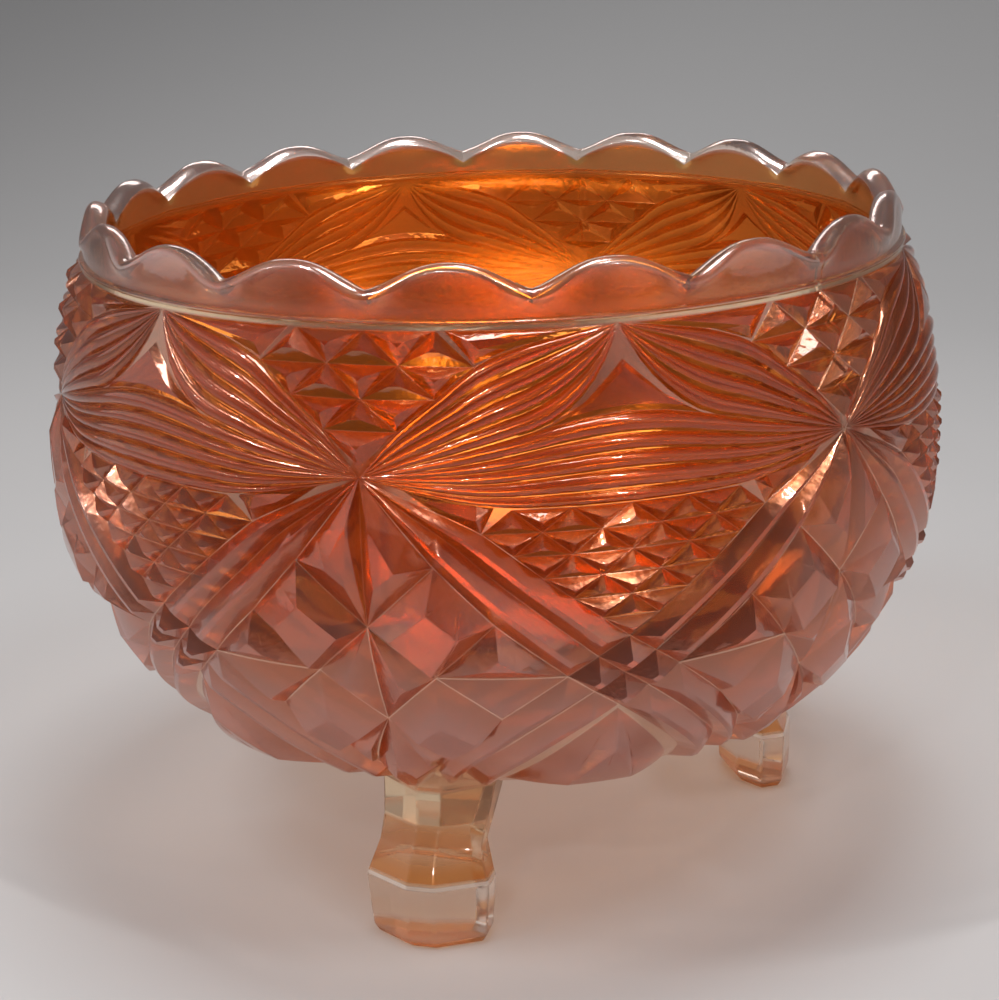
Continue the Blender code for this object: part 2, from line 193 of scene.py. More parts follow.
class BowlSettings(PropertyGroup):
    """Sizes of the bowl and its relief."""

    facet: FloatProperty(
        name="Facet Size", description="Longest edge of the fine mesh", default=3.6 * MM,
        min=0.9 * MM, unit="LENGTH",
    )
    crease: FloatProperty(
        name="Crease Width", description="Rounding beside each crease", default=0.3 * MM,
        min=0.1 * MM, unit="LENGTH",
    )
    relief: FloatProperty(
        name="Relief", description="Height of the pattern as a share of the drawn height",
        default=1.25, min=0.2, max=1.5,
    )
    rib_fullness: FloatProperty(
        name="Rib Fullness", description="Height of a rib as a share of its width", default=0.36,
        min=0.1, max=0.6,
    )
    scallop_depth: FloatProperty(
        name="Scallop Depth", description="From the top of a scallop to the notch beside it",
        default=3.9 * MM, unit="LENGTH",
    )
    lean: FloatProperty(
        name="Scallop Lean", description="How far a scallop leans in from its notches",
        default=1.3 * MM, unit="LENGTH",
    )
    scallops: IntProperty(
        name="Scallops", description="Number of scallops round the rim", default=18, min=3,
    )
    rim_radius: FloatProperty(
        name="Rim Radius", description="Rounding of the edges of the rim", default=1.5 * MM,
        unit="LENGTH",
    )


class LegSettings(PropertyGroup):
    """Sizes of the legs."""

    out: FloatProperty(
        name="Distance Out", description="From the axis to the middle of a toe",
        default=48.7 * MM, unit="LENGTH",
    )
    toe_width: FloatProperty(
        name="Toe Width", description="Width of the toe", default=20.6 * MM, unit="LENGTH",
    )
    toe_depth: FloatProperty(
        name="Toe Depth", description="Depth of the toe", default=11.8 * MM, unit="LENGTH",
    )
    toe_height: FloatProperty(
        name="Toe Height", description="Height of the toe", default=11.0 * MM, unit="LENGTH",
    )
    waist: FloatProperty(
        name="Waist", description="Width of the leg above the toe", default=17.0 * MM,
        unit="LENGTH",
    )
    bevel: FloatProperty(
        name="Bevel", description="Rounding of the leg's edges", default=0.3 * MM, unit="LENGTH",
    )


class GlassSettings(PropertyGroup):
    """Colours of the glass and of the film on it."""

    amber: FloatVectorProperty(
        name="Amber", description="Colour of the bowl", subtype="COLOR",
        default=(0.84, 0.29, 0.05), min=0, max=1,
    )
    rim: FloatVectorProperty(
        name="Rim", description="Colour of the paler rim", subtype="COLOR",
        default=(0.95, 0.80, 0.66), min=0, max=1,
    )
    film_low: FloatVectorProperty(
        name="Film, Warm", description="Warm patches of the film outside", subtype="COLOR",
        default=(0.64, 0.19, 0.05),
    )
    # Pearly film: random patches, and also a painted highlight on crests and a sheen on the sides.
    film_pearl_and_sheen: FloatVectorProperty(
        name="Film, Pearly", description="Pearly patches of the film outside", subtype="COLOR",
        default=(0.68, 0.42, 0.38),
    )
    # Painted glint: the pale line along the bottom of each groove.
    film_groove_glint: FloatVectorProperty(
        name="Film, Grooves", description="Pale lines in the grooves", subtype="COLOR",
        default=(0.82, 0.54, 0.38),
    )
    film_rim: FloatVectorProperty(
        name="Film, Rim", description="Thin film on the rim", subtype="COLOR",
        default=(0.92, 0.76, 0.71),
    )
    film_inside: FloatVectorProperty(
        name="Film, Inside", description="Film on the smooth inside", subtype="COLOR",
        default=(0.86, 0.33, 0.04),
    )
    film_bead: FloatVectorProperty(
        name="Film, Bead", description="The line under the rim", subtype="COLOR",
        default=(0.97, 0.78, 0.50),
    )
    toe: FloatVectorProperty(
        name="Toe", description="Colour of the toes", subtype="COLOR",
        default=(0.98, 0.89, 0.80), min=0, max=1,
    )
    leg_warm: FloatVectorProperty(
        name="Leg, Warm", description="Colour above the toes", subtype="COLOR",
        default=(0.74, 0.28, 0.06), min=0, max=1,
    )
    leg: FloatVectorProperty(
        name="Leg", description="Colour of the legs", subtype="COLOR",
        default=(0.95, 0.74, 0.49), min=0, max=1,
    )


class StudioSettings(PropertyGroup):
    """The floor, the lights and the camera."""

    floor: FloatVectorProperty(
        name="Floor", description="Colour of the floor", subtype="COLOR",
        default=(0.57, 0.555, 0.55), min=0, max=1,
    )
    # Darker than the floor: painted shade on the back of the studio.
    backdrop: FloatVectorProperty(
        name="Backdrop", description="Colour of the paper behind", subtype="COLOR",
        default=(0.36, 0.36, 0.36), min=0, max=1,
    )
    lens: FloatProperty(
        name="Lens", description="Focal length of the camera", default=75.19, unit="CAMERA",
    )


class Value:
    """A shader socket that adds the nodes of an expression written with it."""

    def __init__(self, tree, socket):
        self.tree = tree
        self.socket = socket

    def _math(self, operation, other, swap=False):
        pair = (other, self) if swap else (self, other)
        return self.tree.node("ShaderNodeMath", {"operation": operation}, {0: pair[0], 1: pair[1]})

    def __add__(self, other):
        return self._math("ADD", other)

    __radd__ = __add__

    def __sub__(self, other):
        return self._math("SUBTRACT", other)

    def __rsub__(self, other):
        return self._math("SUBTRACT", other, True)

    def __mul__(self, other):
        return self._math("MULTIPLY", other)

    __rmul__ = __mul__


class Shader:
    """The nodes of one material."""

    def __init__(self, name):
        self.material = bpy.data.materials.new(name)
        self.material.use_nodes = True
        self.nodes = self.material.node_tree.nodes
        self.links = self.material.node_tree.links
        self.principled = self.nodes["Principled BSDF"]

    @classmethod
    def of_tree(cls, tree):
        """The nodes of a tree that is there already, such as the world's."""
        made = cls.__new__(cls)
        made.nodes, made.links = tree.nodes, tree.links
        return made

    def node(self, kind, settings=None, inputs=None, output=0):
        """Adds a node with its settings and the values or links of its sockets, and gives one output."""
        made = self.nodes.new(kind)
        for key, value in (settings or {}).items():
            setattr(made, key, value)
        for key, value in (inputs or {}).items():
            self.feed(made.inputs[key], value)
        return Value(self, made.outputs[output])

    def feed(self, socket, value):
        if isinstance(value, Value):
            self.links.new(value.socket, socket)
        else:
            socket.default_value = value

    def ease(self, value, low, high):
        """Runs smoothly from 0 to 1 as the value runs from low to high."""
        limits = {"Value": value, "From Min": low, "From Max": high}
        return self.node("ShaderNodeMapRange", {"interpolation_type": "SMOOTHSTEP"}, limits)

    def bsdf(self):
        return Value(self, self.principled.outputs["BSDF"])

    def set(self, **values):
        for key, value in values.items():
            self.feed(self.principled.inputs[key.replace("_", " ")], value)


def smooth_curve(points, at):
    """The value at one place on the smooth curve through points of (place, value)."""
    points = sorted(points)
    last = len(points) - 1
    slopes = []
    for index in range(last + 1):
        low, high = points[max(index - 1, 0)], points[min(index + 1, last)]
        slopes.append((high[1] - low[1]) / (high[0] - low[0]))
    index = 0
    while index < last - 1 and at > points[index + 1][0]:
        index += 1
    (x0, y0), (x1, y1) = points[index], points[index + 1]
    width = x1 - x0
    t = (at - x0) / width
    value = (1 + 2 * t) * (1 - t) ** 2 * y0 + t * (1 - t) ** 2 * width * slopes[index]
    return value + t * t * (3 - 2 * t) * y1 + t * t * (t - 1) * width * slopes[index + 1]


def radius(drawn):
    """The radius in metres of a radius in the drawing."""
    return drawn / DRAWN_RADIUS * BOWL_HIGH.y


def height(drawn):
    """The height in metres of a height in the drawing."""
    share = (drawn - DRAWN_FOOT) / (DRAWN_TOP - DRAWN_FOOT)
    return BOWL_LOW.z + share * (BOWL_HIGH.z - BOWL_LOW.z)


def outer_point(drawn_height, out):
    """The radius and height of a point on the outside, moved out along the wall's normal."""
    above, under = drawn_height + 0.2, drawn_height - 0.2
    run = radius(smooth_curve(OUTER, above)) - radius(smooth_curve(OUTER, under))
    rise = height(above) - height(under)
    length = math.hypot(run, rise)
    r = radius(smooth_curve(OUTER, drawn_height))
    return r + out * rise / length, height(drawn_height) - out * run / length


def resampled(points, count):
    """A smooth line through the points, as this many points spaced evenly by their number."""
    places = [0.0]
    for a, b in zip(points, points[1:]):
        places.append(places[-1] + math.hypot((b[0] - a[0]) * MM_PER_DEGREE, b[1] - a[1]))
    line = []
    for step in range(count):
        at = places[-1] * step / (count - 1)
        curves = ([(place, point[axis]) for place, point in zip(places, points)] for axis in (0, 1))
        line.append(tuple(smooth_curve(curve, at) for curve in curves))
    return line


def between(low, high, share):
    """The line part of the way from one line to another."""
    return [tuple(a + (b - a) * share for a, b in zip(p, q)) for p, q in zip(low, high)]


class Drawing:
    """The flat drawing of the pattern: lines of (degrees, height), and how far each stands out."""

    def __init__(self, relief, fullness):
        self.relief = relief
        self.fullness = fullness
        self.points = []
        self.out = []
        self.edges = []

    def line(self, corners, out=0.0, closed=False):
        """Adds a line and its mirror images about both sides of the half repeat."""
        outs = out if isinstance(out, list) else [out] * len(corners)
        for flip in (lambda a: a, lambda a: -a, lambda a: 2 * HALF - a):
            first = len(self.points)
            for (degrees, z), stands in zip(corners, outs):
                self.points.append(Vector((flip(degrees) * MM_PER_DEGREE, z)))
                self.out.append(stands)
            last = len(corners) - (0 if closed else 1)
            self.edges.extend((first + i, first + (i + 1) % len(corners)) for i in range(last))

    def topped(self, tall, corners, top):
        """A cell that rises from its grooves to a smaller top."""
        self.line(corners, 0.0, True)
        self.line(top, tall * self.relief, True)
        if len(corners) == len(top):
            for corner, peak in zip(corners, top):
                self.line([corner, peak], [0.0, tall * self.relief])

    def pyramid(self, tall, corners, top_share):
        """A cell with a small blunt top, over the middle of the circle that fits in a triangle."""
        weights = [1.0] * len(corners)
        if len(corners) == 3:
            for index in range(3):
                a, b = corners[index - 1], corners[(index + 1) % 3]
                weights[index] = math.hypot((a[0] - b[0]) * MM_PER_DEGREE, a[1] - b[1])
        middle = [sum(c[axis] * w for c, w in zip(corners, weights)) / sum(weights) for axis in (0, 1)]
        top = [tuple(m + (c - m) * top_share for c, m in zip(corner, middle)) for corner in corners]
        self.topped(tall, corners, top)

    def ribs(self, low, high, shares, count=17, ends=(0.02, 1.0), section=ROUNDED):
        """Ribs side by side between two curves, with a groove at each share of the way across."""
        low, high = resampled(low, count), resampled(high, count)
        for share in shares:
            self.line(between(low, high, share))
        for start, end in zip(shares, shares[1:]):
            for across, stands in section:
                crest = between(low, high, start + (end - start) * across)
                corners, outs = [], []
                for index, (p, q) in enumerate(zip(low, high)):
                    if not ends[0] <= index / (count - 1) <= ends[1]:
                        continue
                    width = math.hypot((q[0] - p[0]) * MM_PER_DEGREE, q[1] - p[1]) * (end - start)
                    corners.append(crest[index])
                    outs.append(min(width * self.fullness, TALLEST_RIB) * stands * self.relief)
                self.line(corners, outs)

    def sheet(self):
        """The drawing as a flat mesh in millimetres, with how far each point stands out as its Z."""
        verts, _, faces, origins, _, _ = delaunay_2d_cdt(self.points, self.edges, [], 0, 0.015, True)
        mesh = bmesh.new()
        made = []
        for place, origin in zip(verts, origins):
            out = max((self.out[i] for i in origin), default=0.0)
            made.append(mesh.verts.new((place[0], place[1], out)))
        for face in faces:
            mesh.faces.new([made[i] for i in face])
        return mesh


def draw_pattern(relief, fullness):
    """Half a repeat of the pattern as a flat sheet."""
    drawing = Drawing(relief, fullness)
    for level in (LEDGE, HEM):
        drawing.line([(a, level) for a in range(0, int(HALF) + 1)])
    for groove in STRAIGHT_GROOVES:
        drawing.line(groove)
    drawing.ribs(LEAF_INNER, LEAF_OUTER, (0, 0.25, 0.5, 0.75, 1))
    drawing.ribs(BRANCH_FOOT, BRANCH_TOP, (0, 0.163, 0.38, 0.574, 0.76, 1))
    drawing.ribs(BAND_FOOT, BAND_MIDDLE, (0, 1), 17, (0.02, 0.97), MITRED)
    drawing.ribs(BAND_MIDDLE, BAND_TOP, (0, 1), 17, (0.02, 0.97), MITRED)
    drawing.ribs(TAIL_TOP, TAIL_MIDDLE, (0, 1), 11, (0.05, 0.97), MITRED)
    drawing.ribs(TAIL_MIDDLE, TAIL_FOOT, (0, 1), 11, (0.05, 0.97), MITRED)
    for tall, corners, top in TOPPED_CELLS:
        drawing.topped(tall, corners, top)
    drawing.topped(PLAIN_WINDOW_HEIGHT, PLAIN_WINDOW, PLAIN_WINDOW_TOP)
    # The field of small pyramids between the branch and the bands.
    node = lambda i, j: (30 + i * 10 / 3, 60 + j * 3.43)
    for j in range(1, 7):
        for i in range(-j + 1, j):
            if (i + j) % 2 == 0:
                continue
            if j < 6:
                drawing.pyramid(1.3, [node(i - 1, j), node(i + 1, j), node(i, j + 1)], 0.16)
            if j < 6 or abs(i) < 4:
                drawing.pyramid(1.15, [node(i - 1, j), node(i + 1, j), node(i, j - 1)], 0.12)
    for tall, corners, top_share in STAR_FIELD:
        drawing.pyramid(tall, corners, top_share)
    for corners in CROSSING_CELLS:
        drawing.pyramid(1.9, corners, 0.2)
    return drawing.sheet()


def on_border(edge):
    """Whether the edge lies along the ledge or the hem."""
    return all(min(abs(v.co.y - LEDGE), abs(v.co.y - HEM)) < 1e-4 for v in edge.verts)


def refine(mesh, longest):
    """Halves the edges longer than this, but for those along the ledge and the hem."""
    bmesh.ops.triangulate(mesh, faces=mesh.faces[:], quad_method="SHORT_EDGE")
    for limit in (longest * 4, longest * 2, longest):
        long_edges = [e for e in mesh.edges if e.calc_length() > limit and not on_border(e)]
        bmesh.ops.subdivide_edges(mesh, edges=long_edges, cuts=1)
        bmesh.ops.triangulate(mesh, faces=mesh.faces[:], quad_method="SHORT_EDGE")


def trimmed_half(mesh):
    """Cuts the sheet down to half a repeat."""
    for x, side in ((0.0, -1), (HALF * MM_PER_DEGREE, 1)):
        everything = mesh.verts[:] + mesh.edges[:] + mesh.faces[:]
        bmesh.ops.bisect_plane(
            mesh, geom=everything, dist=1e-4, plane_co=(x, 0, 0), plane_no=(side, 0, 0), clear_outer=True
        )


def line_creases(mesh, width):
    """Puts a narrow strip inside the edge of each wide facet, which keeps its middle flat."""
    free = [v for v in mesh.verts if HEM + 0.01 < v.co.y < LEDGE - 0.01]
    bmesh.ops.dissolve_limit(
        mesh, angle_limit=math.radians(1.0), use_dissolve_boundaries=False, verts=free, edges=mesh.edges
    )
    wide = [f for f in mesh.faces if 2 * f.calc_area() / f.calc_perimeter() > FLAT_FACE * width]
    bmesh.ops.inset_individual(mesh, faces=wide, thickness=width, use_even_offset=True)


def bend(mesh):
    """Wraps the flat sheet round the wall of the bowl, and notes how far each point stands out.

    Beside the star at the start of the sheet the note is raised, where the grooves carry no painted glint.
    """
    stands = mesh.verts.layers.float.new("relief")
    for vert in mesh.verts:
        hub_share = 1 - math.hypot(vert.co.x, vert.co.y - HUB[1]) / HUB_REACH
        vert[stands] = max(vert.co.z, 0.2 * hub_share)
        angle = math.radians(vert.co.x / MM_PER_DEGREE)
        r, z = outer_point(vert.co.y, vert.co.z * MM)
        vert.co = (r * math.sin(angle), -r * math.cos(angle), z)


def spun(profile, steps):
    """The surface of a profile of (radius, height) turned round the axis."""
    mesh = bmesh.new()
    verts = [mesh.verts.new((0, -r, z)) for r, z in profile]
    edges = [mesh.edges.new(pair) for pair in zip(verts, verts[1:])]
    bmesh.ops.spin(
        mesh,
        geom=verts + edges,
        cent=(0, 0, 0),
        axis=(0, 0, 1),
        angle=2 * math.pi,
        steps=steps,
        use_merge=True,
        use_duplicate=False,
    )
    return mesh


def add_to(mesh, other):
    """Joins the other mesh to this one."""
    data = bpy.data.meshes.new("joining")
    other.to_mesh(data)
    other.free()
    mesh.from_mesh(data)
    bpy.data.meshes.remove(data)


def arc(centre, reach, start, end, count):
    """Points of (radius, height) round part of a circle, from one angle in degrees to another."""
    made = []
    for i in range(count):
        angle = math.radians(start + (end - start) * i / (count - 1))
        made.append((centre[0] + reach * math.cos(angle), centre[1] + reach * math.sin(angle)))
    return made


def scallop(degrees, count, inward):
    """How deep the rim dips, from 0 on a scallop to 1 in a notch, sharper on the inside."""
    outside = (0.5 + 0.5 * math.cos(math.radians(degrees * count))) ** 1.35
    inside = 1 - abs(math.sin(math.radians(degrees * count / 2))) ** 0.85
    return outside + (inside - outside) * inward


def closed_mesh(mesh, name, material):
    """Merges the seams, turns the faces out and makes the object."""
    border = [v for v in mesh.verts if any(not e.is_manifold for e in v.link_edges)]
    bmesh.ops.remove_doubles(mesh, verts=border, dist=0.00001)
    bmesh.ops.recalc_face_normals(mesh, faces=mesh.faces)
    if mesh.calc_volume(signed=True) < 0:
        bmesh.ops.reverse_faces(mesh, faces=mesh.faces)
    open_edges = sum(1 for e in mesh.edges if not e.is_manifold)
    if open_edges:
        raise RuntimeError(f"{name} has {open_edges} open edges")
    for edge in mesh.edges:
        edge.smooth = edge.calc_face_angle() < SHARP
    data = bpy.data.meshes.new(name)
    mesh.to_mesh(data)
    mesh.free()
    data.materials.append(material)
    made = bpy.data.objects.new(name, data)
    bpy.context.scene.collection.objects.link(made)
    return made


def bowl_profiles(settings):
    """The turned profiles over the rim and down the inside, and across the underside."""
    ledge_r, ledge_z = outer_point(LEDGE, 0.0)
    top = BOWL_HIGH.z
    band_r = ledge_r - 0.2 * MM
    inner_r = radius(INNER[0][1])
    round_r = settings.rim_radius
    over = [(ledge_r, ledge_z)]
    over += arc((ledge_r + 0.15 * MM, ledge_z + 0.4 * MM), 0.35 * MM, -80, 100, 6)
    over += [(band_r, ledge_z + 0.9 * MM), (band_r - 0.02 * MM, ledge_z + 1.1 * MM)]
    rise = top - round_r - over[-1][1]
    over += [(band_r, over[-1][1] + rise / 6 * i) for i in range(1, 6)]
    over += arc((band_r - round_r, top - round_r), round_r, 0, 88, 9)
    over += [(inner_r + 1.9 * MM, top - 0.08 * MM), (inner_r + 1.2 * MM, top - 0.35 * MM)]
    over += [(inner_r + 0.5 * MM, top - 0.95 * MM), (inner_r + 0.12 * MM, top - 1.5 * MM)]
    over += [(inner_r, top - 1.8 * MM), (inner_r, top - 2.3 * MM)]
    over += [(inner_r, top - 2.3 * MM - (top - 2.3 * MM - height(108)) * i / 4) for i in range(1, 4)]
    low, high = INNER[-1][0], INNER[0][0]
    steps = 36
    for i in range(steps + 1):
        drawn = high - (high - low) * math.sin(math.pi / 2 * i / steps)
        over.append((radius(smooth_curve(INNER, drawn)), height(drawn)))
    over += [(radius(r), height(z)) for r, z in ((18, 29.85), (12, 29.62), (6, 29.53), (0, 29.5))]
    recess = [(0, 22.6), (14, 22.6), (27, 22.6), (28.2, 22.35), (29.2, 22.02)]
    under = [(radius(r), height(z)) for r, z in recess]
    under += [outer_point(22.0 + (HEM - 22.0) * i / 14, 0.0) for i in range(15)]
    return over, under


def inner_limit(z):
    """A radius inside the wall at this height, between its two faces."""
    drawn = DRAWN_FOOT + (z - BOWL_LOW.z) / (BOWL_HIGH.z - BOWL_LOW.z) * (DRAWN_TOP - DRAWN_FOOT)
    if drawn >= 104.0:
        return radius(65.5)
    return radius(smooth_curve([(h, r) for h, r in INNER], max(drawn, 30.2))) + 1.0 * MM


def scallop_rim(mesh, settings):
    """Lowers the rim at each notch, and leans the scallops inwards."""
    start = outer_point(LEDGE, 0.0)[1] + 1.5 * MM
    outer_r, inner_r = outer_point(LEDGE, 0.0)[0], radius(INNER[0][1])
    for vert in mesh.verts:
        if vert.co.z <= start:
            continue
        r = math.hypot(vert.co.x, vert.co.y)
        share = min(1.0, (vert.co.z - start) / (BOWL_HIGH.z - 1.5 * MM - start))
        inward = min(1.0, max(0.0, (outer_r - r) / (outer_r - inner_r)))
        notch = scallop(math.degrees(math.atan2(vert.co.x, -vert.co.y)), settings.scallops, inward)
        vert.co.z -= settings.scallop_depth * share * notch * (0.9 + 0.1 * inward)
        vert.co.xy *= 1 + share**2 * settings.lean * (notch - 0.6) / r


class OBJECT_OT_add_patterned_bowl(Operator):
    """Add the bowl, with its cut pattern outside, its scalloped rim and its smooth inside"""

    bl_idname = "object.add_patterned_bowl"
    bl_label = "Add Patterned Bowl"
    bl_options = {"REGISTER", "UNDO"}

    def execute(self, context):
        settings = context.scene.glass_bowl
        mesh = draw_pattern(settings.relief, settings.rib_fullness)
        trimmed_half(mesh)
        line_creases(mesh, settings.crease / MM)
        refine(mesh, settings.facet / MM)
        everything = mesh.verts[:] + mesh.edges[:] + mesh.faces[:]
        middle = Matrix.Translation((-HALF * MM_PER_DEGREE, 0, 0))
        bmesh.ops.mirror(mesh, geom=everything, matrix=middle, merge_dist=-1, axis="X")
        bmesh.ops.remove_doubles(mesh, verts=mesh.verts, dist=1e-3)
        bend(mesh)
        bmesh.ops.spin(
            mesh,
            geom=mesh.verts[:] + mesh.edges[:] + mesh.faces[:],
            cent=(0, 0, 0),
            axis=(0, 0, 1),
            angle=2 * math.pi * (REPEATS - 1) / REPEATS,
            steps=REPEATS - 1,
            use_duplicate=True,
        )
        over, under = bowl_profiles(settings)
        columns = REPEATS * 2 * int(HALF)
        add_to(mesh, spun(over, columns))
        add_to(mesh, spun(under, columns))
        inner = mesh.verts.layers.float.new("inside")
        below = mesh.verts.layers.float.new("below_rim")
        for vert in mesh.verts:
            r = math.hypot(vert.co.x, vert.co.y)
            vert[below] = (BOWL_HIGH.z - vert.co.z) / MM
            if vert.co.z > height(29.0) and r < inner_limit(vert.co.z):
                vert[inner] = 1.0
        scallop_rim(mesh, settings)
        for face in mesh.faces:
            face.smooth = True
        bowl = closed_mesh(mesh, "patterned_bowl", amber_glass(context.scene.glass_colours))
        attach(bowl, "root")
        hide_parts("bowl")
        return {"FINISHED"}


def wall_height(r):
    """The height of the outside of the bowl at this radius, under the belly."""
    return height(smooth_curve([(radius(out), z) for z, out in OUTER if z < 60], r))


def leg_sections(size):
    """The sections of a leg, from its underside up.

    Each has its height, the places of its outer face, outer side, inner side and inner face along the
    leg's depth, its half width and the half width of its outer face.
    """
    half, waist, deep = size.toe_width / 2, size.waist / 2, size.toe_depth / 2
    t, lift = size.toe_height, BOWL_LOW.z
    under, seat, top = lift - 3.0 * MM, lift + 2.6 * MM, lift + 11.0 * MM
    return [
        (0.0, deep - 1.3 * MM, 0.9 * MM, -2.4 * MM, 1.2 * MM - deep, half - 1.6 * MM, 2.0 * MM),
        (1.5 * MM, deep - 0.2 * MM, 1.2 * MM, -2.9 * MM, 0.2 * MM - deep, half - 0.7 * MM, 2.2 * MM),
        (t - 0.5 * MM, deep, 1.4 * MM, -3.0 * MM, -deep, half, 2.3 * MM),
        (t + 0.3 * MM, deep - 0.4 * MM, 1.3 * MM, -3.0 * MM, 0.3 * MM - deep, half - 0.3 * MM, 2.2 * MM),
        (t + 4.8 * MM, deep - 3.4 * MM, -0.6 * MM, -5.0 * MM, -deep - 1.5 * MM, waist, 1.9 * MM),
        (under, deep - 6.0 * MM, -4.0 * MM, -10.0 * MM, -deep - 6.2 * MM, waist + 0.2 * MM, 1.9 * MM),
        (seat, deep - 7.0 * MM, -7.0 * MM, -14.0 * MM, -deep - 11.0 * MM, waist + 1.0 * MM, 2.0 * MM),
        (top, deep - 6.2 * MM, -7.0 * MM, -17.0 * MM, -deep - 14.0 * MM, waist + 2.0 * MM, 2.4 * MM),
    ]


def leg_mesh(size, degrees):
    """A leg at its place, drawn up from an eight-sided foot to the wall of the bowl above it."""
    mesh = bmesh.new()
    bmesh.ops.create_circle(mesh, cap_ends=True, segments=8, radius=1.0)
    mesh.faces.ensure_lookup_table()
    face = mesh.faces[0]
    first = face.verts[:]
    foot = bmesh.ops.duplicate(mesh, geom=[face])
    for number, (z, front, front_side, back_side, back, half, flat) in enumerate(leg_sections(size)):
        corners = [(front, -flat), (front, flat), (front_side, half), (back_side, half)]
        corners += [(back, half * 0.5), (back, -half * 0.5), (back_side, -half), (front_side, -half)]
        if number:
            face = bmesh.ops.extrude_discrete_faces(mesh, faces=[face])["faces"][0]
        for vert, (out, side) in zip(face.verts, corners):
            r = size.out + out
            vert.co = (side, -r, min(z, wall_height(math.hypot(r, side)) + 1.2 * MM))
        if not number:
            copied = [g for g in foot["geom"] if isinstance(g, bmesh.types.BMVert)]
            for vert, twin in zip(first, copied):
                twin.co = vert.co
    bmesh.ops.remove_doubles(mesh, verts=mesh.verts, dist=0.000001)
    turn = Matrix.Rotation(math.radians(degrees), 3, "Z")
    bmesh.ops.rotate(mesh, verts=mesh.verts, cent=(0, 0, 0), matrix=turn)
    bmesh.ops.recalc_face_normals(mesh, faces=mesh.faces)
    rounded = bmesh.ops.bevel(
        mesh,
        geom=[e for e in mesh.edges if e.is_manifold and e.calc_face_angle() > 0.15],
        offset=size.bevel,
        offset_type="OFFSET",
        segments=2,
        profile=0.5,
        affect="EDGES",
        material=-1,
        clamp_overlap=True,
    )
    for face in rounded["faces"]:
        face.smooth = True
    return mesh


class OBJECT_OT_add_legs(Operator):
    """Add the legs, each seated under the bowl"""

    bl_idname = "object.add_bowl_legs"
    bl_label = "Add Legs"
    bl_options = {"REGISTER", "UNDO"}

    def execute(self, context):
        size = context.scene.glass_legs
        material = leg_glass(context.scene.glass_colours, size.toe_height)
        for name, degrees in (("front", 0), ("right", 120), ("left", 240)):
            leg = closed_mesh(leg_mesh(size, degrees), f"faceted_leg_{name}", material)
            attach(leg, "root")
            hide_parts(f"leg_{name}")
        return {"FINISHED"}


def mixed(shader, low, high, factor):
    """A colour between two, by a factor."""
    return shader.node("ShaderNodeMix", {"data_type": "RGBA"}, {0: factor, 6: low, 7: high}, output=2)


def lit_through(shader, surface, colour):
    """Lets the lamps shine through the glass in its colour, for a light and warm shadow."""
    shadow = shader.node("ShaderNodeLightPath", output=1)
    clear = shader.node("ShaderNodeBsdfTransparent", {}, {"Color": colour})
    mix = shader.node("ShaderNodeMixShader", {}, {0: shadow, 1: surface, 2: clear})
    shader.feed(shader.nodes["Material Output"].inputs["Surface"], mix)


def mould_seam(shader, across, back):
    """How high the fine ridges stand where the three parts of the mould met."""
    ridges = 0.0
    for degrees in (60, 180, 300):
        angle = math.radians(degrees)
        beside = across * math.cos(angle) + back * math.sin(angle)
        along = across * math.sin(angle) - back * math.cos(angle)
        near = shader.node("ShaderNodeMath", {"operation": "ABSOLUTE"}, {0: beside})
        ridges = ridges + shader.ease(near, 0.0010, 0.0004) * shader.ease(along, 0.02, 0.03)
    return ridges


